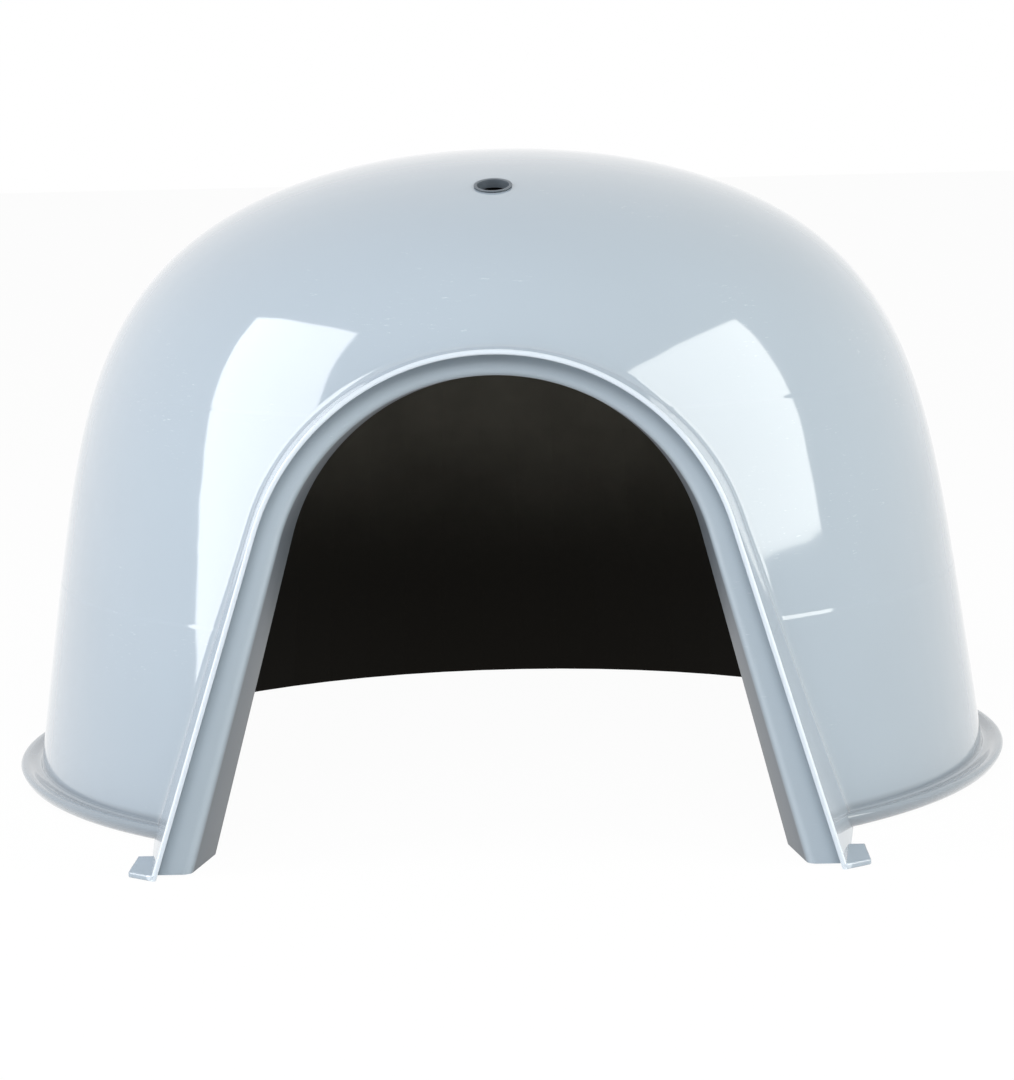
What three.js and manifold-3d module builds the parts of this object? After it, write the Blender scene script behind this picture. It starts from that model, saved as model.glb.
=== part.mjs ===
// A round plastic house for a small dog: a glossy outer dome with a gutter rim and a door collar,
// a dark inner skin, a door frame seated in the collar, a vent eyelet near the crown and the
// screws that hold the inner skin. Millimetres, +Z up, the door faces -Y.
import * as THREE from 'three';
import { mergeVertices } from 'three/addons/utils/BufferGeometryUtils.js';
import Module from 'manifold-3d';

const wasm = await Module();
wasm.setup();

// ---- Driving dimensions ----

// Dome: radius of the wall carried down to the floor, its slope, and the two powers of its curve.
const DOME_RADIUS = 288.5;
const DOME_HEIGHT = 370;
const DOME_DRAFT = 8.2;
const SHOULDER_POWER = 5.9;
const CROWN_POWER = 2.04;
const DOME_WALL = 3;

// Inner skin and the air space between the skins.
const SKIN_GAP = 8;
const LINER_WALL = 2.5;
const LINER_FLANGE = 4.5;

// Rim: an outward flange with a turned-down skirt that draws in towards the floor,
// dished beside the wall like a gutter. The gutter's flat runs a little way out from the wall.
const RIM_RADIUS = 300;
const RIM_TOP = 9;
const RIM_GUTTER = 7;
const RIM_SHEET = 3;
const RIM_ROUND = 2;
const GUTTER_FLAT = 2;
const SKIRT_TAPER = 6;

// Door: a collar whose front edge lies in one plane that leans back from the floor.
// An arch outline is a round top with two straight legs that splay outwards.
const DOOR_REACH = 320;
const DOOR_LEAN = 16.6;
const ARCH_CENTRE = 148.5;
const COLLAR_RADIUS = 137;
const COLLAR_SPLAY = 16.4;
const COLLAR_FLARE = 5;
const COLLAR_WALL = 3;

// Door frame: a front band set back inside the collar, and the tunnel wall behind it.
const BAND_SETBACK = 12;
const TUNNEL_RADIUS = 121.5;
const TUNNEL_SPLAY = 15.2;
const TUNNEL_END_RADIUS = 116.5;
const TUNNEL_END_SPLAY = 14;
const TUNNEL_DEPTH = 48;
const FRAME_WALL = 3;
const FRAME_LEG = 8;

// Sleeve of the inner skin, which runs forward round the tunnel wall.
const SLEEVE_WALL = 2.5;
const SLEEVE_SETBACK = 2;

// Foot tabs beside the two feet of the collar.
const TAB_HEIGHT = 3;
const TAB_FRONT_WIDTH = 13;
const TAB_BACK_WIDTH = 8;
const TAB_LENGTH = 47;
const TAB_SWEEP = 10;
const TAB_CORNER = 3;

// Vent eyelet, square to the dome.
const VENT_DISTANCE = 113;
const VENT_BORE = 18.4;
const EYELET_WALL = 1;
const EYELET_LIP = 0.6;
const EYELET_LIP_HEIGHT = 0.7;

// Screws that hold the inner skin, driven up from below into bosses between the skins.
const SCREW_ANGLES = [58, 94, 130, 165];
const SCREW_HEAD_DIAMETER = 7;
const SCREW_HEAD_FLAT = 5.6;
const SCREW_HEAD_HEIGHT = 2.2;
const SCREW_SHANK_DIAMETER = 3;
const SCREW_LENGTH = 14;
const BOSS_WALL = 1.8;
const BOSS_ROOF = 2.5;

// Clearances.
const CLEARANCE = 0.3;
const SLIDING_CLEARANCE = 0.5;
const FLOOR_CLEARANCE = 0.5;

// Facets.
const ROUND_STEPS = 64;
const PROFILE_STEPS = 15;
const ARCH_STEPS = 24;
const SMALL_ROUND_STEPS = 24;
const SCREW_STEPS = 12;
const BEAD_STEPS = 3;

const PALE_BLUE_GREY = 0xc0ccd8;
const NEAR_BLACK = 0x2a2824;
const ZINC = 0xa9adb0;

// ---- Worked-out values ----

const radians = THREE.MathUtils.degToRad;
const wallSlope = Math.tan(radians(DOME_DRAFT));
const leanSlope = Math.tan(radians(DOOR_LEAN));
const leanCosine = Math.cos(radians(DOOR_LEAN));
const flareSlope = Math.tan(radians(COLLAR_FLARE));
const bandDepth = BAND_SETBACK;
const tunnelEndDepth = bandDepth + TUNNEL_DEPTH;
// Deep enough to pass through both skins anywhere round the arch.
const throughDepth = DOOR_REACH / 2;
// How far a cutting block runs past what it cuts.
const OVERRUN = 6;
const linerOutset = DOME_WALL + SKIN_GAP;
const linerInset = linerOutset + LINER_WALL;

// ---- Solids and meshes ----

function toSolid(geometry) {
  geometry.deleteAttribute('normal');
  geometry.deleteAttribute('uv');
  const merged = mergeVertices(geometry, 1e-4);
  const index = merged.index.array;
  const triangles = [];
  for (let i = 0; i < index.length; i += 3) {
    const [a, b, c] = [index[i], index[i + 1], index[i + 2]];
    if (a !== b && b !== c && c !== a) triangles.push(a, b, c);
  }
  const vertProperties = new Float32Array(merged.attributes.position.array);
  const triVerts = new Uint32Array(triangles);
  return new wasm.Manifold(new wasm.Mesh({ numProp: 3, vertProperties, triVerts }));
}

function toGeometry(solid) {
  const { vertProperties, triVerts } = solid.getMesh();
  const geometry = new THREE.BufferGeometry();
  geometry.setAttribute('position', new THREE.BufferAttribute(new Float32Array(vertProperties), 3));
  geometry.setIndex(new THREE.BufferAttribute(new Uint32Array(triVerts), 1));
  geometry.computeVertexNormals();
  return geometry;
}

// A profile of [radius, height] points turned about the Z axis.
function turned(points, steps) {
  const profile = points.map(([radius, height]) => new THREE.Vector2(radius, height));
  return new THREE.LatheGeometry(profile, steps).rotateX(Math.PI / 2);
}

// ---- Dome profile ----

// Radius of the outer surface at a height: a drafted wall that a power curve draws in to the crown.
function domeRadius(height) {
  const draw = 1 - (Math.max(height, 0) / DOME_HEIGHT) ** SHOULDER_POWER;
  return (DOME_RADIUS - wallSlope * height) * draw ** (1 / CROWN_POWER);
}

// Points of the outer profile from a base height up to the crown, closer together at the shoulder.
function domePoints(base) {
  const points = [[domeRadius(base), base]];
  for (let i = 1; i <= PROFILE_STEPS; i += 1) {
    const angle = (i / PROFILE_STEPS) * (Math.PI / 2);
    const height = DOME_HEIGHT * Math.sin(angle) ** (2 / SHOULDER_POWER);
    points.push([i === PROFILE_STEPS ? 0 : domeRadius(height), height]);
  }
  return points;
}

// The same profile moved inwards by a distance, square to the surface.
function insetPoints(base, distance) {
  const points = domePoints(base);
  const moved = points.map(([radius, height], i) => {
    if (i === 0) return [radius - distance / Math.cos(radians(DOME_DRAFT)), base];
    if (i === points.length - 1) return [0, height - distance];
    const [lowRadius, lowHeight] = points[i - 1];
    const [highRadius, highHeight] = points[i + 1];
    const length = Math.hypot(highRadius - lowRadius, highHeight - lowHeight);
    const inward = (highHeight - lowHeight) / length;
    const down = (lowRadius - highRadius) / length;
    return [radius - distance * inward, height - distance * down];
  });
  return moved.filter(([radius], i) => i === moved.length - 1 || radius > 0);
}

// A solid of everything inside the inset surface, from a base height up.
function insideOfDome(base, distance) {
  return toSolid(turned([[0, base], ...insetPoints(base, distance)], ROUND_STEPS));
}

// ---- Arch blocks ----

// Outline of an arch in the XZ plane, from its left foot over the top to its right foot.
// The radius is measured in the leaning plane, so heights are shortened by the lean.
function archOutline({ radius, splay, floor }) {
  const slope = radians(splay);
  const outline = [];
  for (let i = 0; i <= ARCH_STEPS; i += 1) {
    const angle = Math.PI - slope - (i / ARCH_STEPS) * (Math.PI - 2 * slope);
    const x = radius * Math.cos(angle);
    const z = (ARCH_CENTRE + radius * Math.sin(angle)) * leanCosine;
    outline.push(new THREE.Vector2(x, z));
  }
  const [shoulderX, shoulderZ] = [outline[ARCH_STEPS].x, outline[ARCH_STEPS].y];
  const footX = shoulderX + ((shoulderZ - floor) / leanCosine) * Math.tan(slope);
  return [new THREE.Vector2(-footX, floor), ...outline, new THREE.Vector2(footX, floor)];
}

// A block between two arch outlines, each in a plane that leans with the door's front
// and lies a depth behind it.
function archBlock(front, back, floor) {
  const ring = ({ radius, splay, depth }) => archOutline({ radius, splay, floor })
    .map(({ x, y: z }) => new THREE.Vector3(x, depth - DOOR_REACH + z * leanSlope, z));
  const frontRing = ring(front);
  const backRing = ring(back);
  const count = frontRing.length;
  const flat = frontRing.map(({ x, z }) => new THREE.Vector2(x, z));
  const index = [];
  for (const [a, b, c] of THREE.ShapeUtils.triangulateShape(flat, [])) {
    index.push(a, b, c, count + a, count + c, count + b);
  }
  for (let i = 0; i < count; i += 1) {
    const next = (i + 1) % count;
    index.push(i, next, count + i, next, count + next, count + i);
  }
  const geometry = new THREE.BufferGeometry().setFromPoints([...frontRing, ...backRing]);
  geometry.setIndex(index);
  return toSolid(geometry);
}

// The collar's outline, moved outwards by a growth, at a depth behind the front edge.
function collarRing(growth, depth) {
  return { radius: COLLAR_RADIUS + growth + depth * flareSlope, splay: COLLAR_SPLAY, depth };
}

// The tunnel's outline, moved outwards by a growth, at a depth behind the front edge.
// Past its front and its end it carries on at the same taper.
function tunnelRing(growth, depth) {
  const share = (depth - bandDepth) / TUNNEL_DEPTH;
  return {
    radius: THREE.MathUtils.lerp(TUNNEL_RADIUS, TUNNEL_END_RADIUS, share) + growth,
    splay: THREE.MathUtils.lerp(TUNNEL_SPLAY, TUNNEL_END_SPLAY, share),
    depth,
  };
}

// The straight outline that the inner skin's sleeve follows.
function sleeveRing(growth, depth) {
  const radius = TUNNEL_RADIUS + FRAME_WALL + SLIDING_CLEARANCE + growth;
  return { radius, splay: TUNNEL_SPLAY, depth };
}

function upright(radius, low, high, steps) {
  const height = high - low;
  return new THREE.CylinderGeometry(radius, radius, height, steps)
    .rotateX(Math.PI / 2)
    .translate(0, 0, low + height / 2);
}

// ---- Vent ----

const ventHeight = heightAtRadius(VENT_DISTANCE);
const ventTilt = surfaceTilt(ventHeight);

function heightAtRadius(radius) {
  let [low, high] = [0, DOME_HEIGHT];
  while (high - low > 1e-6) {
    const middle = (low + high) / 2;
    if (domeRadius(middle) > radius) low = middle;
    else high = middle;
  }
  return low;
}

// How far the outward normal leans from +Z towards the door.
function surfaceTilt(height) {
  const step = 0.5;
  return Math.atan2(2 * step, domeRadius(height - step) - domeRadius(height + step));
}

// Turns a shape made about +Z to stand on the dome at the vent.
function atVent(geometry) {
  return geometry.rotateX(ventTilt).translate(0, -VENT_DISTANCE, ventHeight);
}

function ventHole() {
  const radius = VENT_BORE / 2 + EYELET_WALL + CLEARANCE;
  const reach = linerInset + OVERRUN;
  return toSolid(atVent(upright(radius, -reach, OVERRUN, SMALL_ROUND_STEPS)));
}

// An eyelet: a short tube through the outer wall with a lip on each side.
function eyelet() {
  const bore = VENT_BORE / 2;
  const tube = bore + EYELET_WALL;
  const lip = tube + EYELET_LIP + CLEARANCE;
  const top = CLEARANCE + EYELET_LIP_HEIGHT;
  const seat = -(DOME_WALL + SLIDING_CLEARANCE);
  const profile = [
    [bore, seat - EYELET_LIP_HEIGHT], [lip, seat - EYELET_LIP_HEIGHT], [lip, seat], [tube, seat],
    [tube, CLEARANCE], [lip, CLEARANCE], [lip, CLEARANCE + EYELET_LIP_HEIGHT / 2],
    [tube, top], [bore, top], [bore, seat - EYELET_LIP_HEIGHT],
  ];
  return atVent(turned(profile, SMALL_ROUND_STEPS));
}

// ---- Screws ----

const linerBottom = FLOOR_CLEARANCE;
const linerTop = linerBottom + LINER_FLANGE;
const flangeRadius = domeRadius(linerTop) - (DOME_WALL + SLIDING_CLEARANCE) / Math.cos(radians(DOME_DRAFT));
const bossRadius = SCREW_SHANK_DIAMETER / 2 + CLEARANCE + BOSS_WALL;
const screwRadius = flangeRadius + SLIDING_CLEARANCE - bossRadius;
const headSeat = linerBottom + SCREW_HEAD_HEIGHT + CLEARANCE;
const headTop = headSeat - CLEARANCE;
const screwTip = headTop + SCREW_LENGTH;

// Places for the screws, as angles from the door's direction, on both sides of the house.
const screwPlaces = SCREW_ANGLES.flatMap((angle) => [-angle, angle]).map((angle) => ({
  x: screwRadius * Math.sin(radians(angle)),
  y: -screwRadius * Math.cos(radians(angle)),
}));

function atScrews(makeGeometry) {
  return screwPlaces.map(({ x, y }) => toSolid(makeGeometry().translate(x, y, 0)));
}

function screw() {
  const shank = SCREW_SHANK_DIAMETER / 2;
  const head = SCREW_HEAD_DIAMETER / 2;
  const low = headTop - SCREW_HEAD_HEIGHT;
  const profile = [
    [0, low], [SCREW_HEAD_FLAT / 2, low], [head, low + SCREW_HEAD_HEIGHT / 2], [head, headTop],
    [shank, headTop], [shank, screwTip - shank], [0, screwTip],
  ];
  return turned(profile, SCREW_STEPS);
}

// ---- Outer dome ----

// The outer surface down to the rim, the rim and its skirt, then the inner surface up again.
function domeShell() {
  const outer = domePoints(RIM_GUTTER + RIM_ROUND);
  const inner = insetPoints(0, DOME_WALL);
  const [footRadius] = inner[0];
  const wallFoot = domeRadius(0);
  const gutter = domeRadius(RIM_GUTTER) + GUTTER_FLAT;
  const bead = [];
  for (let i = 0; i <= BEAD_STEPS; i += 1) {
    const angle = Math.PI / 2 * (1 - i / BEAD_STEPS);
    const radius = RIM_RADIUS - RIM_ROUND * (1 - Math.cos(angle));
    bead.push([radius, RIM_TOP - RIM_ROUND * (1 - Math.sin(angle))]);
  }
  const foot = RIM_RADIUS - SKIRT_TAPER;
  const underside = RIM_GUTTER - RIM_SHEET;
  const rim = [
    [gutter, RIM_GUTTER], ...bead, [foot, 0], [foot - RIM_SHEET, 0],
    [RIM_RADIUS - RIM_SHEET, underside], [wallFoot, underside], [wallFoot, 0], [footRadius, 0],
  ];
  return toSolid(turned([...outer.reverse(), ...rim, ...inner.slice(1)].reverse(), ROUND_STEPS));
}

// A flat tab outside one foot of the collar, swept back at its front and narrower at its back.
function footTab(side) {
  const reach = archOutline({ ...collarRing(0, 0), floor: 0 }).at(-1).x;
  const root = reach - COLLAR_WALL / 2;
  const front = -DOOR_REACH + CLEARANCE;
  const back = front + TAB_LENGTH;
  const flare = TAB_LENGTH * flareSlope;
  const outline = new THREE.Shape([
    [root, front], [reach, front],
    [reach + TAB_FRONT_WIDTH - TAB_CORNER, front + TAB_SWEEP - TAB_CORNER],
    [reach + TAB_FRONT_WIDTH, front + TAB_SWEEP + TAB_CORNER / 2],
    [reach + flare + TAB_BACK_WIDTH, back], [root + flare, back],
  ].map(([x, y]) => new THREE.Vector2(side * x, y)));
  return toSolid(new THREE.ExtrudeGeometry(outline, { depth: TAB_HEIGHT, bevelEnabled: false }));
}

function outerDome() {
  const collar = archBlock(collarRing(0, 0), collarRing(0, throughDepth), 0)
    .subtract(insideOfDome(-OVERRUN, DOME_WALL));
  // The cut starts as far ahead of the door as it ends behind it, so that it also opens a rim or
  // a wall that stands ahead of the door.
  const doorway = archBlock(
    collarRing(-COLLAR_WALL, -throughDepth),
    collarRing(-COLLAR_WALL, throughDepth + OVERRUN),
    -OVERRUN,
  );
  let dome = domeShell().add(collar).add(footTab(-1)).add(footTab(1));
  const bossLow = linerTop + CLEARANCE;
  const bossHigh = screwTip + CLEARANCE + BOSS_ROOF;
  for (const boss of atScrews(() => upright(bossRadius, bossLow, bossHigh, SCREW_STEPS))) {
    dome = dome.add(boss);
  }
  const pilot = SCREW_SHANK_DIAMETER / 2 + CLEARANCE;
  const pilotHigh = screwTip + CLEARANCE;
  for (const hole of atScrews(() => upright(pilot, bossLow - OVERRUN, pilotHigh, SCREW_STEPS))) {
    dome = dome.subtract(hole);
  }
  return dome.subtract(doorway).subtract(ventHole());
}

// ---- Inner liner ----

function linerShell() {
  const outer = insetPoints(linerTop, linerOutset);
  const inner = insetPoints(linerBottom, linerInset);
  const flange = [[flangeRadius, linerTop], [flangeRadius, linerBottom]];
  return toSolid(turned([...inner.reverse(), ...flange.reverse(), ...outer], ROUND_STEPS));
}

function innerLiner() {
  const sleeveFront = bandDepth + FRAME_WALL + SLEEVE_SETBACK;
  const sleeve = archBlock(
    sleeveRing(SLEEVE_WALL, sleeveFront),
    sleeveRing(SLEEVE_WALL, throughDepth),
    linerBottom,
  ).subtract(insideOfDome(-OVERRUN, linerInset));
  const doorway = archBlock(
    sleeveRing(0, -OVERRUN),
    sleeveRing(0, throughDepth + OVERRUN),
    -OVERRUN,
  );
  let liner = linerShell().add(sleeve).subtract(doorway).subtract(ventHole());
  const head = SCREW_HEAD_DIAMETER / 2 + CLEARANCE;
  const shank = SCREW_SHANK_DIAMETER / 2 + CLEARANCE;
  for (const seat of atScrews(() => upright(head, linerBottom - OVERRUN, headSeat, SCREW_STEPS))) {
    liner = liner.subtract(seat);
  }
  for (const hole of atScrews(() => upright(shank, linerBottom, linerTop + OVERRUN, SCREW_STEPS))) {
    liner = liner.subtract(hole);
  }
  return liner;
}

// ---- Door frame ----

// A front band with a short leg inside the collar and the tunnel wall round the doorway.
function doorFrame() {
  const fit = -(COLLAR_WALL + CLEARANCE);
  const legEnd = bandDepth + FRAME_LEG;
  const bandBack = bandDepth + FRAME_WALL;
  const band = archBlock(collarRing(fit, bandDepth), collarRing(fit, legEnd), FLOOR_CLEARANCE);
  const channel = archBlock(
    collarRing(fit - FRAME_WALL, bandBack),
    collarRing(fit - FRAME_WALL, legEnd + OVERRUN),
    -OVERRUN,
  );
  const tunnel = archBlock(
    tunnelRing(FRAME_WALL, bandDepth),
    tunnelRing(FRAME_WALL, tunnelEndDepth),
    FLOOR_CLEARANCE,
  );
  const doorway = archBlock(
    tunnelRing(0, bandDepth - OVERRUN),
    tunnelRing(0, tunnelEndDepth + OVERRUN),
    -OVERRUN,
  );
  return band.subtract(channel).add(tunnel).subtract(doorway);
}

// ---- Assembly ----

const house = new THREE.Group();
// The origin lies under the middle of the footprint, between the door's front and the rim's back.
house.position.y = (DOOR_REACH - RIM_RADIUS) / 2;

function addPiece(name, geometry, color, roughness, metalness = 0) {
  const material = new THREE.MeshStandardMaterial({ color, roughness, metalness });
  const mesh = new THREE.Mesh(geometry, material);
  mesh.name = name;
  house.add(mesh);
  return mesh;
}

addPiece('outer_dome', toGeometry(outerDome()), PALE_BLUE_GREY, 0.25);
addPiece('inner_liner', toGeometry(innerLiner()), NEAR_BLACK, 0.6);
addPiece('door_frame', toGeometry(doorFrame()), PALE_BLUE_GREY, 0.3);
addPiece('vent_eyelet', eyelet(), PALE_BLUE_GREY, 0.3);
screwPlaces.forEach(({ x, y }, i) => {
  const piece = addPiece(`liner_screw_${i + 1}`, screw(), ZINC, 0.35, 1);
  piece.position.set(x, y, 0);
});

const group = new THREE.Group();
group.add(house);
export default group;
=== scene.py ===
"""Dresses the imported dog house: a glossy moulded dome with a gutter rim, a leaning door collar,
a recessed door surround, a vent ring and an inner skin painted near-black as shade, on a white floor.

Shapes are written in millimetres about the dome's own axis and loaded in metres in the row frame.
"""
import math

import bmesh
import bpy
import numpy as np
from mathutils import Matrix, Vector


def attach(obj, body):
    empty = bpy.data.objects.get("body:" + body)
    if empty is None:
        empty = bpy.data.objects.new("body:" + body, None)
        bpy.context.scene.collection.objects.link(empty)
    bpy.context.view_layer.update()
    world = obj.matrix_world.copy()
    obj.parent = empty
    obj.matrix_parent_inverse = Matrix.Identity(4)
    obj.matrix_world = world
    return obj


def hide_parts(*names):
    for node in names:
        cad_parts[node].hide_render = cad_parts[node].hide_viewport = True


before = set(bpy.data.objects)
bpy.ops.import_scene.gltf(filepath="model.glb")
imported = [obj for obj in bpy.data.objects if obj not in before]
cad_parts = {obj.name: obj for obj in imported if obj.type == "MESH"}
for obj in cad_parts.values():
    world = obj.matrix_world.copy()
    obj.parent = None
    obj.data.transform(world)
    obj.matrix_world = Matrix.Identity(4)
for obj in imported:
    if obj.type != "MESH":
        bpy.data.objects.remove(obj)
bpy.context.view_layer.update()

MM = 0.001
# The dome's axis lies this far behind the row's origin.
AXIS_SHIFT = 10.0

# ---- Sizes of the part, in mm ----

DOME_RADIUS, DOME_HEIGHT, DOME_DRAFT = 288.5, 370.0, 8.2
SHOULDER_POWER, CROWN_POWER = 5.9, 2.04
DOME_WALL = 3.0
RIM_RADIUS, RIM_TOP, RIM_GUTTER, RIM_SHEET, RIM_ROUND = 300.0, 9.0, 7.0, 3.0, 2.0
GUTTER_FLAT, SKIRT_TAPER = 2.0, 6.0
DOOR_REACH, DOOR_LEAN, ARCH_CENTRE = 320.0, 16.6, 148.5
COLLAR_RADIUS, COLLAR_SPLAY, COLLAR_FLARE, COLLAR_WALL = 137.0, 16.4, 5.0, 3.0
BAND_SETBACK, FRAME_WALL, FRAME_LEG = 12.0, 3.0, 8.0
TUNNEL_RADIUS, TUNNEL_SPLAY = 121.5, 15.2
TUNNEL_END_RADIUS, TUNNEL_END_SPLAY, TUNNEL_DEPTH = 116.5, 14.0, 48.0
TAB_HEIGHT, TAB_FRONT_WIDTH, TAB_BACK_WIDTH = 3.0, 13.0, 8.0
TAB_LENGTH, TAB_SWEEP, TAB_CORNER = 47.0, 10.0, 3.0
VENT_DISTANCE, VENT_BORE = 113.0, 18.4
EYELET_WALL, EYELET_LIP, EYELET_LIP_HEIGHT = 1.0, 0.6, 0.7
CLEARANCE, SLIDING_CLEARANCE, FLOOR_CLEARANCE = 0.3, 0.5, 0.5

WALL_SLOPE = math.tan(math.radians(DOME_DRAFT))
LEAN_SLOPE = math.tan(math.radians(DOOR_LEAN))
LEAN_COSINE = math.cos(math.radians(DOOR_LEAN))
FLARE_SLOPE = math.tan(math.radians(COLLAR_FLARE))

# ---- Facets ----

ROUND_STEPS, PROFILE_STEPS = 360, 100
LEG_STEPS, ARC_STEPS = 60, 120
CORNER_STEPS = 6

# ---- Looks ----

# Two faint steps run round the dome where its wall was drawn: heights above the floor, the depth
# of a step and half the width over which it happens, in mm.
RING_LEVELS, RING_STEP, RING_HALF_WIDTH = (119.0, 238.0), 0.22, 1.4
# Share of the base colour taken away on the rim and in its gutter: painted shade.
RIM_SHADE = 0.3
POLYPROPYLENE_IOR = 1.49
# How white the camera sees the floor; the rest of it shows the shadow.
FLOOR_WHITE = 0.97
# The floor lies this far under the part, in metres, so that the two never coincide.
FLOOR_DROP = 0.0002
# Strength of the white world as a light; the camera and mirror images see it at 1.
AMBIENT = 0.15


# ---- Meshes ----

def make_object(name, vertices, faces):
    """An object at the origin from vertices in mm about the dome's axis, with normals facing out."""
    points = (np.asarray(vertices, float) + [0, AXIS_SHIFT, 0]) * MM
    mesh = bpy.data.meshes.new(name)
    mesh.from_pydata(points.tolist(), [], faces)
    work = bmesh.new()
    work.from_mesh(mesh)
    bmesh.ops.recalc_face_normals(work, faces=work.faces)
    work.to_mesh(mesh)
    work.free()
    obj = bpy.data.objects.new(name, mesh)
    bpy.context.scene.collection.objects.link(obj)
    return obj


def revolve(name, profile, steps):
    """A turned solid: (r cos a, r sin a, z) for each profile point (r, z), closed on the axis."""
    angles = np.arange(steps) * 2 * np.pi / steps
    vertices, rings, faces = [], [], []
    for radius, height in profile:
        first = len(vertices)
        if radius < 1e-6:
            vertices.append([0, 0, height])
            rings.append([first] * steps)
        else:
            vertices.extend(np.column_stack([
                radius * np.cos(angles), radius * np.sin(angles), np.full(steps, height),
            ]).tolist())
            rings.append(list(range(first, first + steps)))
    closed = profile[0][0] > 1e-6
    pairs = list(zip(rings, rings[1:])) + ([(rings[-1], rings[0])] if closed else [])
    for upper, lower in pairs:
        for i in range(steps):
            j = (i + 1) % steps
            corners = [upper[i], lower[i], lower[j], upper[j]]
            faces.append([c for k, c in enumerate(corners) if c != corners[k - 1]])
    return make_object(name, vertices, faces)


def corner(centre, radius, start, end):
    """Points of an arc about a centre, angles in degrees from the first axis to the second."""
    turns = np.radians(np.linspace(start, end, CORNER_STEPS + 1))
    return [(centre[0] + radius * math.cos(t), centre[1] + radius * math.sin(t)) for t in turns]


# ---- Dome ----

def dome_radius(height):
    """r(z) = (R - z tan(draft)) (1 - (z / H)^p)^(1 / q)."""
    rise = np.clip(np.asarray(height, float) / DOME_HEIGHT, 0, 1)
    wall = DOME_RADIUS - WALL_SLOPE * np.asarray(height)
    return wall * (1 - rise ** SHOULDER_POWER) ** (1 / CROWN_POWER)


def dome_normals(points):
    """Outward normals: the gradient of (r / (R - z tan(draft)))^q + (z / H)^p - 1."""
    radius = np.hypot(points[:, 0], points[:, 1])
    height = np.clip(points[:, 2], 0, DOME_HEIGHT)
    wall = DOME_RADIUS - WALL_SLOPE * height
    outward = CROWN_POWER * radius ** (CROWN_POWER - 1) / wall ** CROWN_POWER
    upward = (CROWN_POWER * radius ** CROWN_POWER * WALL_SLOPE / wall ** (CROWN_POWER + 1)
              + SHOULDER_POWER * height ** (SHOULDER_POWER - 1) / DOME_HEIGHT ** SHOULDER_POWER)
    safe = np.maximum(radius, 1e-9)
    normals = np.column_stack([outward * points[:, 0] / safe, outward * points[:, 1] / safe, upward])
    return normals / np.linalg.norm(normals, axis=1)[:, None]


def dome_profile(base, inset, steps):
    """Profile points from the crown down to a base height, moved inwards by an inset."""
    turns = np.linspace(np.pi / 2, 0, steps + 1)[:-1]
    heights = DOME_HEIGHT * np.sin(turns) ** (2 / SHOULDER_POWER)
    heights = np.append(heights[heights > base + 1], base)
    radii = dome_radius(heights)
    radii[0] = 0
    flat = np.column_stack([radii, np.zeros(len(radii)), heights])
    normals = dome_normals(flat)
    moved = flat - inset * normals
    moved[-1] = [radii[-1] - inset / math.cos(math.radians(DOME_DRAFT)), 0, base]
    return [(r, z) for r, _, z in moved.tolist() if r > 0.5 or r == radii[0]]


def dome_solid():
    """The outer surface down to a rounded gutter and bead, the skirt, then the inner surface."""
    fillet = 1.6
    outer = dome_profile(RIM_GUTTER + fillet, 0, PROFILE_STEPS)
    wall_foot = float(dome_radius(RIM_GUTTER))
    gutter = corner((wall_foot + fillet, RIM_GUTTER + fillet), fillet, 188, 270)
    rise_start, rise_end = wall_foot + fillet + GUTTER_FLAT / 2, RIM_RADIUS - RIM_ROUND - 1.2
    rise = [(rise_start + (rise_end - rise_start) * s,
             RIM_GUTTER + (RIM_TOP - RIM_GUTTER) * s * s * (3 - 2 * s))
            for s in np.linspace(0.1, 0.95, 8)]
    bead = corner((RIM_RADIUS - RIM_ROUND, RIM_TOP - RIM_ROUND), RIM_ROUND, 100, 0)
    foot = RIM_RADIUS - SKIRT_TAPER
    underside = RIM_GUTTER - RIM_SHEET
    # The skirt curves in from the bead to its foot.
    skirt = [(RIM_RADIUS - 0.7, 4.9), (RIM_RADIUS - 2.4, 2.2), (foot + 1.6, 0.6), (foot, 0)]
    base = [(foot - RIM_SHEET, 0), (RIM_RADIUS - RIM_SHEET, underside), (wall_foot, underside),
            (float(dome_radius(0)), 0)]
    inner = dome_profile(0, DOME_WALL, PROFILE_STEPS // 2)[::-1]
    profile = outer + gutter + rise + bead + skirt + base + inner
    return revolve("dome_shell", profile, ROUND_STEPS)


# ---- Arches ----

def arch_places():
    """Places along an arch: -1 to 0 up the left leg, 0 to 1 over the top, 1 to 2 down the right leg."""
    legs = np.linspace(0, 1, LEG_STEPS + 1)
    return np.concatenate([legs - 1, np.linspace(0, 1, ARC_STEPS + 1)[1:-1], 1 + legs])


PLACES = arch_places()


def arch_points(radius, splay, depth, floor):
    """Points of an arch in a plane that leans with the door and lies a depth behind its front.

    Over the top: x = r cos a, z = (c + r sin a) cos(lean). Down a leg: a straight splayed line.
    """
    radius, depth = np.broadcast_to(radius, PLACES.shape), np.broadcast_to(depth, PLACES.shape)
    slope = math.radians(splay)
    over = np.clip(PLACES, 0, 1)
    turn = math.pi - slope - over * (math.pi - 2 * slope)
    x = radius * np.cos(turn)
    z = (ARCH_CENTRE + radius * np.sin(turn)) * LEAN_COSINE
    down = np.abs(PLACES - over)
    drop = down * (z - floor)
    x = x + np.sign(PLACES - 0.5) * drop / LEAN_COSINE * math.tan(slope)
    z = z - drop
    return np.column_stack([x, depth - DOOR_REACH + z * LEAN_SLOPE, z])


def collar_points(growth, depth, floor=0.0):
    """The collar's outline, moved out by a growth, which widens with its depth."""
    radius = COLLAR_RADIUS + growth + np.asarray(depth) * FLARE_SLOPE
    return arch_points(radius, COLLAR_SPLAY, depth, floor)


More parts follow.
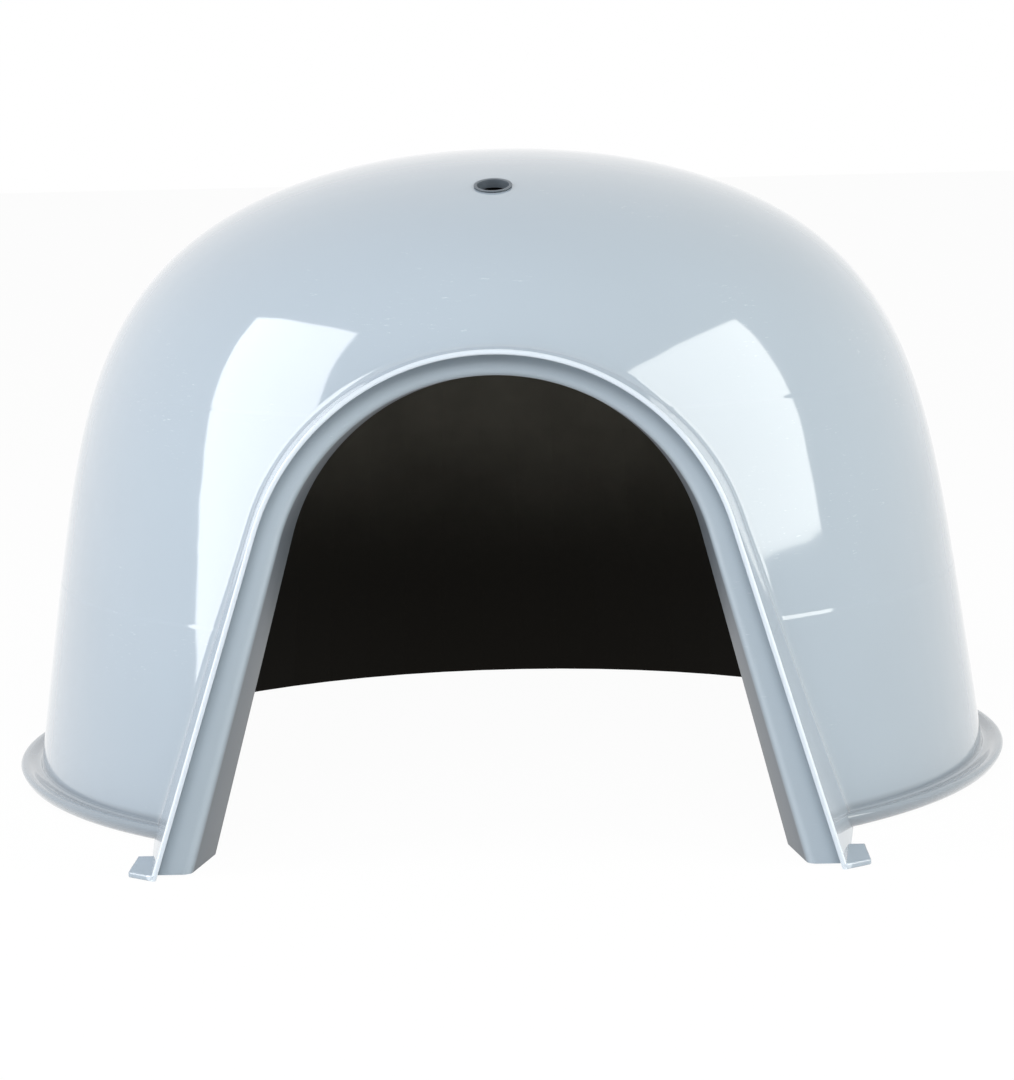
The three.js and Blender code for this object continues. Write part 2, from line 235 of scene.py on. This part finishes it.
def tunnel_points(growth, depth, floor=FLOOR_CLEARANCE):
    """The tunnel's outline, moved out by a growth, which narrows with its depth."""
    share = (depth - BAND_SETBACK) / TUNNEL_DEPTH
    radius = TUNNEL_RADIUS + (TUNNEL_END_RADIUS - TUNNEL_RADIUS) * share + growth
    splay = TUNNEL_SPLAY + (TUNNEL_END_SPLAY - TUNNEL_SPLAY) * share
    return arch_points(radius, splay, depth, floor)


def depth_to_dome(growth):
    """Depth at which the collar's outline, moved out by a growth, meets the dome, by halving."""
    low, high = np.full(PLACES.shape, -20.0), np.full(PLACES.shape, 160.0)
    for _ in range(40):
        middle = (low + high) / 2
        points = collar_points(growth, middle)
        outside = np.hypot(points[:, 0], points[:, 1]) > dome_radius(points[:, 2])
        low, high = np.where(outside, middle, low), np.where(outside, high, middle)
    return low


def sweep(name, rings):
    """A closed solid from a loop of arches, with a flat cap at each foot."""
    count, length = len(rings), len(PLACES)
    vertices = np.concatenate(rings)
    faces = []
    for k in range(count):
        m = (k + 1) % count
        for i in range(length - 1):
            faces.append([k * length + i, m * length + i, m * length + i + 1, k * length + i + 1])
    faces.append([k * length for k in range(count)])
    faces.append([k * length + length - 1 for k in range(count)][::-1])
    return make_object(name, vertices, faces)


def door_collar():
    """Rounded lip, straight outer side, a small fillet on to the dome, and the inner side."""
    fillet = 3.0
    edge = COLLAR_WALL * 0.42
    meet, beyond = depth_to_dome(0.0), depth_to_dome(fillet)
    start = np.maximum(meet - fillet, edge + 0.1)
    control = np.maximum(meet, start + 0.05)
    rings = [collar_points(-edge + edge * math.sin(t), edge - edge * math.cos(t))
             for t in np.linspace(0, math.pi / 2, CORNER_STEPS + 1)]
    for s in np.linspace(0, 1, 7):
        growth = fillet * s * s
        depth = (1 - s) ** 2 * start + 2 * s * (1 - s) * control + s * s * np.maximum(beyond, control)
        rings.append(collar_points(growth, depth))
    rings.append(collar_points(fillet, np.maximum(beyond, control) + 1.2))
    behind = np.maximum(depth_to_dome(-COLLAR_WALL), BAND_SETBACK + FRAME_LEG) + 1.5
    rings.append(collar_points(-COLLAR_WALL / 2, np.maximum(behind, beyond + 1.5)))
    rings.append(collar_points(-COLLAR_WALL, behind))
    rings += [collar_points(-COLLAR_WALL + edge - edge * math.cos(t), edge - edge * math.sin(t))
              for t in np.linspace(0, math.pi / 2, CORNER_STEPS + 1)]
    return sweep("door_collar", rings)


def door_surround():
    """The band set back in the collar, its short outer leg and the tunnel wall, edges rounded."""
    fit = -(COLLAR_WALL + CLEARANCE)
    front, back, leg_end = BAND_SETBACK, BAND_SETBACK + FRAME_WALL, BAND_SETBACK + FRAME_LEG
    tunnel_end = BAND_SETBACK + TUNNEL_DEPTH
    soft, small = 4.5, 0.5

    def collar(growth, depth):
        return collar_points(growth, depth, FLOOR_CLEARANCE)

    turns = np.linspace(0, math.pi / 2, CORNER_STEPS + 1)
    rings = [collar(fit - FRAME_WALL, back), collar(fit - FRAME_WALL, leg_end), collar(fit, leg_end)]
    rings += [collar(fit - small + small * math.cos(t), front + small - small * math.sin(t)) for t in turns]
    rings += [tunnel_points(soft - soft * math.sin(t), front + soft - soft * math.cos(t)) for t in turns]
    edge = FRAME_WALL / 2
    rings += [tunnel_points(edge - edge * math.cos(t), tunnel_end - edge + edge * math.sin(t))
              for t in np.linspace(0, math.pi, 2 * CORNER_STEPS + 1)]
    rings.append(tunnel_points(FRAME_WALL, back))
    return sweep("door_surround", rings)


def arch_cutter(name, growth, front, back):
    """A block through the doorway, for cutting only."""
    rings = [collar_points(growth, front, -8.0), collar_points(growth, back, -8.0)]
    length = len(PLACES)
    faces = [[i, i + 1, length + i + 1, length + i] for i in range(length - 1)]
    faces.append([length - 1, 0, length, 2 * length - 1])
    faces.append(list(range(length))[::-1])
    faces.append(list(range(length, 2 * length)))
    return make_object(name, np.concatenate(rings), faces)


def foot_tab(name, side):
    """A flat tab outside one foot of the collar, with softened edges."""
    reach = collar_points(0.0, 0.0)[-1][0]
    root, front = reach - COLLAR_WALL / 2, -DOOR_REACH + CLEARANCE
    back, flare = front + TAB_LENGTH, TAB_LENGTH * FLARE_SLOPE
    outline = [(root, front), (reach, front)]
    outline += [(reach + TAB_FRONT_WIDTH - TAB_CORNER + TAB_CORNER * math.sin(t),
                 front + TAB_SWEEP - TAB_CORNER * math.cos(t) + TAB_CORNER / 2)
                for t in np.linspace(0.5, math.pi / 2, 5)]
    outline += [(reach + flare + TAB_BACK_WIDTH, back), (root + flare, back)]
    count = len(outline)
    vertices = [(side * x, y, z) for z in (0.0, TAB_HEIGHT) for x, y in outline]
    faces = [list(range(count)), list(range(count, 2 * count))]
    faces += [[i, (i + 1) % count, count + (i + 1) % count, count + i] for i in range(count)]
    tab = make_object(name, vertices, faces)
    bevel = tab.modifiers.new("soft_edges", "BEVEL")
    bevel.width, bevel.segments, bevel.limit_method = 0.7 * MM, 3, "ANGLE"
    return tab


# ---- Vent ----

def vent_matrix():
    """Stands a shape made about +Z on the dome at the vent."""
    heights = np.linspace(300, DOME_HEIGHT, 70001)
    height = float(heights[np.argmin(np.abs(dome_radius(heights) - VENT_DISTANCE))])
    normal = dome_normals(np.array([[0.0, -VENT_DISTANCE, height]]))[0]
    tilt = math.atan2(-normal[1], normal[2])
    place = Vector((0, (AXIS_SHIFT - VENT_DISTANCE) * MM, height * MM))
    return Matrix.Translation(place) @ Matrix.Rotation(tilt, 4, "X")


def at_vent(obj):
    """Moves a mesh to the vent and leaves its object at the origin."""
    obj.data.transform(vent_matrix() @ Matrix.Translation((0, -AXIS_SHIFT * MM, 0)))
    return obj


def vent_ring():
    """A turned eyelet: a tube with a rounded lip outside the wall and a flat one inside it."""
    bore, tube = VENT_BORE / 2, VENT_BORE / 2 + EYELET_WALL
    lip, top = tube + EYELET_LIP + CLEARANCE, CLEARANCE + EYELET_LIP_HEIGHT
    seat = -(DOME_WALL + SLIDING_CLEARANCE)
    edge = EYELET_LIP_HEIGHT / 2
    profile = [(bore, seat - EYELET_LIP_HEIGHT), (bore, top - edge)]
    profile += corner((bore + edge, top - edge), edge, 180, 90)
    profile += corner((lip - edge, top - edge), edge, 90, -60)
    profile += [(tube, CLEARANCE), (tube, seat), (lip, seat), (lip, seat - EYELET_LIP_HEIGHT)]
    return at_vent(revolve("vent_ring", profile, 96))


# ---- Cutting and shading ----

def cut(obj, *cutters):
    """Takes the cutters out of an object and deletes them."""
    for cutter in cutters:
        modifier = obj.modifiers.new("cut", "BOOLEAN")
        modifier.operation, modifier.object, modifier.solver = "DIFFERENCE", cutter, "MANIFOLD"
    shape = bpy.data.meshes.new_from_object(obj.evaluated_get(bpy.context.evaluated_depsgraph_get()))
    obj.modifiers.clear()
    obj.data = shape
    for cutter in cutters:
        bpy.data.objects.remove(cutter)


def shade(obj, angle=35.0):
    """Smooth shading with edges sharper than an angle kept."""
    obj.data.shade_smooth()
    obj.data.set_sharp_from_angle(angle=math.radians(angle))


def shade_dome(obj, within=0.4):
    """The dome's outer faces, within so many mm, take their normals from the formula."""
    shade(obj)
    mesh = obj.data
    count = len(mesh.loops)
    normals = np.empty(count * 3)
    mesh.corner_normals.foreach_get("vector", normals)
    normals = normals.reshape(-1, 3)
    loop_vertex = np.empty(count, int)
    mesh.loops.foreach_get("vertex_index", loop_vertex)
    points = np.empty(len(mesh.vertices) * 3)
    mesh.vertices.foreach_get("co", points)
    points = points.reshape(-1, 3) / MM - [0, AXIS_SHIFT, 0]
    off = np.hypot(points[:, 0], points[:, 1]) - dome_radius(points[:, 2])
    near = (np.abs(off) < within) | (points[:, 2] > DOME_HEIGHT - within)
    near &= points[:, 2] > RIM_GUTTER + 1.0
    formula = dome_normals(points)[loop_vertex]
    agrees = (normals * formula).sum(axis=1) > 0.9
    use = near[loop_vertex] & agrees
    normals[use] = formula[use]
    mesh.normals_split_custom_set(normals.tolist())


# ---- Materials ----

def linear(hex_colour):
    """Linear RGBA from an sRGB hex string."""
    values = [int(hex_colour[i:i + 2], 16) / 255 for i in (0, 2, 4)]
    return tuple(v / 12.92 if v <= 0.04045 else ((v + 0.055) / 1.055) ** 2.4 for v in values) + (1.0,)


class Nodes:
    """The node tree of a material or world, with one call that adds a node, settings and links."""

    def __init__(self, owner):
        self.owner = owner
        self.owner.use_nodes = True
        self.tree = self.owner.node_tree
        self.tree.nodes.clear()

    def add(self, kind, settings=None, **inputs):
        node = self.tree.nodes.new(kind)
        for key, value in (settings or {}).items():
            setattr(node, key, value)
        for key, value in inputs.items():
            socket = node.inputs[int(key[1:])] if key[1:].isdigit() else node.inputs[key.replace("_", " ")]
            if isinstance(value, bpy.types.NodeSocket):
                self.tree.links.new(value, socket)
            else:
                socket.default_value = value
        return node

    def math(self, operation, a, b=0.0, clamp=False):
        return self.add("ShaderNodeMath", {"operation": operation, "use_clamp": clamp}, i0=a, i1=b).outputs[0]

    def step(self, value, low, high):
        """Rises smoothly from 0 to 1 as the value goes from low to high."""
        node = self.add("ShaderNodeMapRange", {"interpolation_type": "SMOOTHSTEP"})
        self.tree.links.new(value, node.inputs[0])
        node.inputs[1].default_value, node.inputs[2].default_value = low, high
        return node.outputs[0]

    def mix(self, factor, a, b, blend="MIX"):
        """Blends two colours, each a linear RGBA or a socket."""
        return self.add("ShaderNodeMix", {"data_type": "RGBA", "blend_type": blend},
                        Factor=factor, i6=a, i7=b).outputs[2]

    def inverse(self, value):
        return self.math("SUBTRACT", 1.0, value)

    def axes(self, position):
        return self.add("ShaderNodeSeparateXYZ", {}, Vector=position).outputs

    def seen(self):
        """1 for rays that a camera, a mirror image or clear plastic sees, else 0."""
        rays = self.add("ShaderNodeLightPath").outputs
        return self.math("MAXIMUM", rays["Is Camera Ray"], self.math(
            "MAXIMUM", rays["Is Glossy Ray"], rays["Is Transmission Ray"]))

    def door_depth(self, position):
        """Distance in metres behind the leaning plane of the door's front edge."""
        axes = self.axes(position)
        lean = self.math("SUBTRACT", axes["Y"], self.math("MULTIPLY", axes["Z"], LEAN_SLOPE))
        return self.math("ADD", lean, (DOOR_REACH - AXIS_SHIFT) * MM)

    def noise(self, vector, scale_mm, detail=2.0, roughness=0.5):
        """Noise in object coordinates whose features are about so many mm across."""
        return self.add("ShaderNodeTexNoise", {}, Vector=vector, Scale=1 / (scale_mm * MM),
                        Detail=detail, Roughness=roughness).outputs["Fac"]


def new_nodes(name):
    return Nodes(bpy.data.materials.new(name))


def add_plastic(name, colour, gloss, coat=0.0, shell=False, wear=0.0, tunnel_shade=False):
    """Injection-moulded polypropylene, with faint sink waves and fine handling scuffs.

    The shell has ring steps, a rim and gutter painted darker as painted shade, and a lip painted paler as a
    painted highlight. The door's tunnel wall is painted darker inwards as painted shade.
    """
    n = new_nodes(name)
    position = n.add("ShaderNodeTexCoord").outputs["Object"]
    waves, ripple = n.noise(position, 90.0, 2.0), n.noise(position, 22.0, 1.0)
    height = n.math("ADD", n.math("MULTIPLY", waves, 0.55 * MM), n.math("MULTIPLY", ripple, 0.035 * MM))
    if shell:
        z = n.axes(position)["Z"]
        for level in RING_LEVELS:
            step = n.step(z, (level - RING_HALF_WIDTH) * MM, (level + RING_HALF_WIDTH) * MM)
            height = n.math("SUBTRACT", height, n.math("MULTIPLY", step, RING_STEP * MM))
    bump = n.add("ShaderNodeBump", {}, Strength=1.0, Distance=1.0, Height=height)

    # Scuffs are long across the house and thin in height, and lie in patches.
    stretched = n.add("ShaderNodeMapping", {}, Vector=position, Scale=(1.0, 1.0, 7.0)).outputs[0]
    scuffs = n.step(n.noise(stretched, 6.0, 4.0, 0.65), 0.62, 0.74)
    patches = n.step(n.noise(position, 70.0, 2.0), 0.52, 0.66)
    worn = n.math("MULTIPLY", n.math("MULTIPLY", scuffs, patches), wear, True)
    shift = n.math("ADD", n.math("MULTIPLY", n.noise(position, 130.0, 2.0), 0.08), 0.96)
    if shell:
        # The gutter and the bead, inside the rim's radius, are painted darker: painted shade.
        axes = n.axes(position)
        along = n.math("SUBTRACT", axes["Y"], AXIS_SHIFT * MM)
        radius = n.math("SQRT", n.math("ADD", n.math("MULTIPLY", axes["X"], axes["X"]),
                                       n.math("MULTIPLY", along, along)))
        inside = n.inverse(n.step(radius, (RIM_RADIUS + 1) * MM, (RIM_RADIUS + 3) * MM))
        low = n.inverse(n.step(axes["Z"], RIM_TOP * MM, (RIM_TOP + 4) * MM))
        rim_shade = n.math("MULTIPLY", n.math("MULTIPLY", inside, low), RIM_SHADE)
        shift = n.math("SUBTRACT", shift, rim_shade)
    grey = n.add("ShaderNodeCombineColor", {}, Red=shift, Green=shift, Blue=shift).outputs[0]
    base = n.mix(1.0, n.mix(worn, linear(colour), linear("DDE5EC")), grey, "MULTIPLY")
    if shell:
        # The lip of the door collar is painted paler: a painted highlight on its rounded edge.
        lip_highlight = n.inverse(n.step(n.door_depth(position), 0.8 * MM, 1.8 * MM))
        base = n.mix(lip_highlight, base, linear("BAC4CE"))
    if tunnel_shade:
        # The tunnel wall is painted darker deeper into the doorway: painted shade.
        tunnel_shade_share = n.step(n.door_depth(position), (BAND_SETBACK + 0.8) * MM, (BAND_SETBACK + 7.0) * MM)
        base = n.mix(tunnel_shade_share, base, linear("525A62"))
    rough = n.math("ADD", n.math("MULTIPLY", worn, 0.25), gloss)
    shader = n.add("ShaderNodeBsdfPrincipled", {}, Base_Color=base, Roughness=rough,
                   IOR=POLYPROPYLENE_IOR, Normal=bump.outputs[0], Coat_Weight=coat,
                   Coat_Roughness=0.04, Coat_Normal=bump.outputs[0])
    n.add("ShaderNodeOutputMaterial", {}, Surface=shader.outputs[0])
    return n.owner


def add_painted_shade_skin():
    """Satin polypropylene with a fine spark-eroded grain, painted near-black as the shade inside the house.
    """
    n = new_nodes("painted_shade_polypropylene")
    position = n.add("ShaderNodeTexCoord").outputs["Object"]
    grain, patches = n.noise(position, 1.6, 2.0), n.noise(position, 60.0, 3.0)
    bump = n.add("ShaderNodeBump", {}, Strength=0.5, Distance=0.1 * MM, Height=grain)
    # Painted lighter towards the crown, in patches: painted light inside the house.
    rise = n.step(n.axes(position)["Z"], 0.06, 0.23)
    upper = n.math("MULTIPLY", rise, n.math("ADD", patches, 0.45), True)
    base = n.mix(upper, linear("14110B"), linear("8A877E"))
    shader = n.add("ShaderNodeBsdfPrincipled", {}, Base_Color=base, Roughness=0.6,
                   IOR=POLYPROPYLENE_IOR, Normal=bump.outputs[0], Specular_IOR_Level=0.12)
    n.add("ShaderNodeOutputMaterial", {}, Surface=shader.outputs[0])
    return n.owner


def add_zinc():
    """Bright zinc plating on steel, with a slightly mottled passivation."""
    n = new_nodes("zinc_plated_steel")
    position = n.add("ShaderNodeTexCoord").outputs["Object"]
    mottle = n.noise(position, 1.2, 3.0)
    rough = n.math("ADD", n.math("MULTIPLY", mottle, 0.2), 0.25)
    shader = n.add("ShaderNodeBsdfPrincipled", {}, Base_Color=linear("A9ADB0"), Metallic=1.0,
                   Roughness=rough)
    n.add("ShaderNodeOutputMaterial", {}, Surface=shader.outputs[0])
    return n.owner


def add_floor_material():
    """Matt white floor that a camera sees as white and that keeps part of the shadow."""
    n = new_nodes("white_floor")
    matt = n.add("ShaderNodeBsdfDiffuse", {}, Color=linear("E8E8E8"))
    white = n.add("ShaderNodeEmission", {}, Strength=1.0)
    mix = n.add("ShaderNodeMixShader", {}, i0=n.math("MULTIPLY", n.seen(), FLOOR_WHITE),
                i1=matt.outputs[0], i2=white.outputs[0])
    n.add("ShaderNodeOutputMaterial", {}, Surface=mix.outputs[0])
    return n.owner


def paint(obj, material):
    obj.data.materials.clear()
    obj.data.materials.append(material)


# ---- The house ----

dome = dome_solid()
hole = VENT_BORE / 2 + EYELET_WALL + CLEARANCE
bore_cutter = at_vent(revolve("bore_cutter", [(0, 6), (hole, 6), (hole, -12), (0, -12)], 96))
cut(dome, arch_cutter("door_cutter", -COLLAR_WALL / 2, -40.0, 165.0), bore_cutter)
shade_dome(dome)

collar = door_collar()
surround = door_surround()
ring = vent_ring()
tabs = [foot_tab("foot_tab_left", -1), foot_tab("foot_tab_right", 1)]
for piece in (collar, surround, ring, *tabs):
    shade(piece)

shell_plastic = add_plastic(
    "pale_blue_grey_polypropylene", "97A3AE", 0.07, coat=0.6, shell=True, wear=0.3)
door_plastic = add_plastic(
    "pale_blue_grey_door_polypropylene", "97A3AD", 0.4, wear=0.35, tunnel_shade=True)
for piece in (dome, collar, *tabs):
    paint(piece, shell_plastic)
    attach(piece, "root")
    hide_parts("outer_dome")
paint(surround, door_plastic)
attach(surround, "root")
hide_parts("door_frame")
# The ring takes the door's material, so all of it lies in the tunnel's painted shade colour.
paint(ring, door_plastic)
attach(ring, "root")
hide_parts("vent_eyelet")

painted_shade_skin, zinc = add_painted_shade_skin(), add_zinc()
for name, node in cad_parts.items():
    if name == "inner_liner":
        paint(node, painted_shade_skin)
    elif name.startswith("liner_screw"):
        paint(node, zinc)

# ---- Floor, world, lights ----

bpy.ops.mesh.primitive_plane_add(size=12.0, location=(0, 0, -FLOOR_DROP))
floor = bpy.context.object
floor.name = "floor"
paint(floor, add_floor_material())

world = bpy.data.worlds.new("studio")
bpy.context.scene.world = world
sky = Nodes(world)
strength = sky.math("ADD", sky.math("MULTIPLY", sky.seen(), 1 - AMBIENT), AMBIENT)
background = sky.add("ShaderNodeBackground", {}, Color=linear("FFFFFF"), Strength=strength)
sky.add("ShaderNodeOutputWorld", {}, Surface=background.outputs[0])


def direction(azimuth, elevation):
    """Unit vector; azimuth 0 is out of the door (-Y) and +90 is towards +X."""
    a, e = math.radians(azimuth), math.radians(elevation)
    return Vector((math.sin(a) * math.cos(e), -math.cos(a) * math.cos(e), math.sin(e)))


def softbox(name, target, azimuth, elevation, distance, roll, width, height, radiance):
    """A rectangular studio light, in metres and degrees, that faces a point.

    Its power follows from its radiance: radiance times pi times its area.
    """
    towards = direction(azimuth, elevation)
    light = bpy.data.lights.new(name, "AREA")
    light.shape, light.size, light.size_y = "RECTANGLE", width, height
    light.energy = radiance * math.pi * width * height
    obj = bpy.data.objects.new(name, light)
    bpy.context.scene.collection.objects.link(obj)
    turn = towards.to_track_quat("Z", "Y").to_matrix().to_4x4()
    obj.matrix_world = (Matrix.Translation(Vector(target) + towards * distance) @ turn
                        @ Matrix.Rotation(math.radians(roll), 4, "Z"))
    return obj


# The two softboxes stand where the photograph's highlights mirror them.
softbox("left_softbox", (-0.14, -0.19, 0.2), -72.8, 25.8, 1.6, 17, 1.01, 1.85, 5.0)
warm = softbox("right_softbox", (0.14, -0.19, 0.2), 70, 26.8, 1.6, 0, 1.24, 1.3, 4.6)
warm.data.color = (1.0, 0.99, 0.93)
# A scrim over the camera that fills the front and leaves no mirror image.
fill = softbox("front_fill", (0, -0.1, 0.25), 0, 38, 2.3, 0, 1.6, 1.4, 5.2)
fill.visible_glossy = False

# ---- Camera, from the photograph's perspective ----

FOCAL_PIXELS, PHOTO_HEIGHT = 3842.76, 1080.0
CAMERA_DISTANCE, CAMERA_HEIGHT = 2.3207, 0.4861
CAMERA_YAW, CAMERA_PITCH, CAMERA_ROLL = 1.6, 8.669, -1.38

yaw, pitch, roll = (math.radians(v) for v in (CAMERA_YAW, CAMERA_PITCH, CAMERA_ROLL))
forward = Vector((-math.sin(yaw) * math.cos(pitch), math.cos(yaw) * math.cos(pitch), -math.sin(pitch)))
level = Vector((math.cos(yaw), math.sin(yaw), 0))
upward = level.cross(forward)
right = math.cos(roll) * level + math.sin(roll) * upward
up = -math.sin(roll) * level + math.cos(roll) * upward
camera_data = bpy.data.cameras.new("camera")
camera_data.sensor_fit, camera_data.sensor_height = "VERTICAL", 36.0
camera_data.lens = FOCAL_PIXELS * 36.0 / PHOTO_HEIGHT
camera = bpy.data.objects.new("camera", camera_data)
bpy.context.scene.collection.objects.link(camera)
place = Vector((CAMERA_DISTANCE * math.sin(yaw), -CAMERA_DISTANCE * math.cos(yaw) + AXIS_SHIFT * MM,
                CAMERA_HEIGHT))
camera.matrix_world = Matrix.Translation(place) @ Matrix((right, up, -forward)).transposed().to_4x4()
bpy.context.scene.camera = camera
bpy.context.scene.view_settings.view_transform = "Standard"
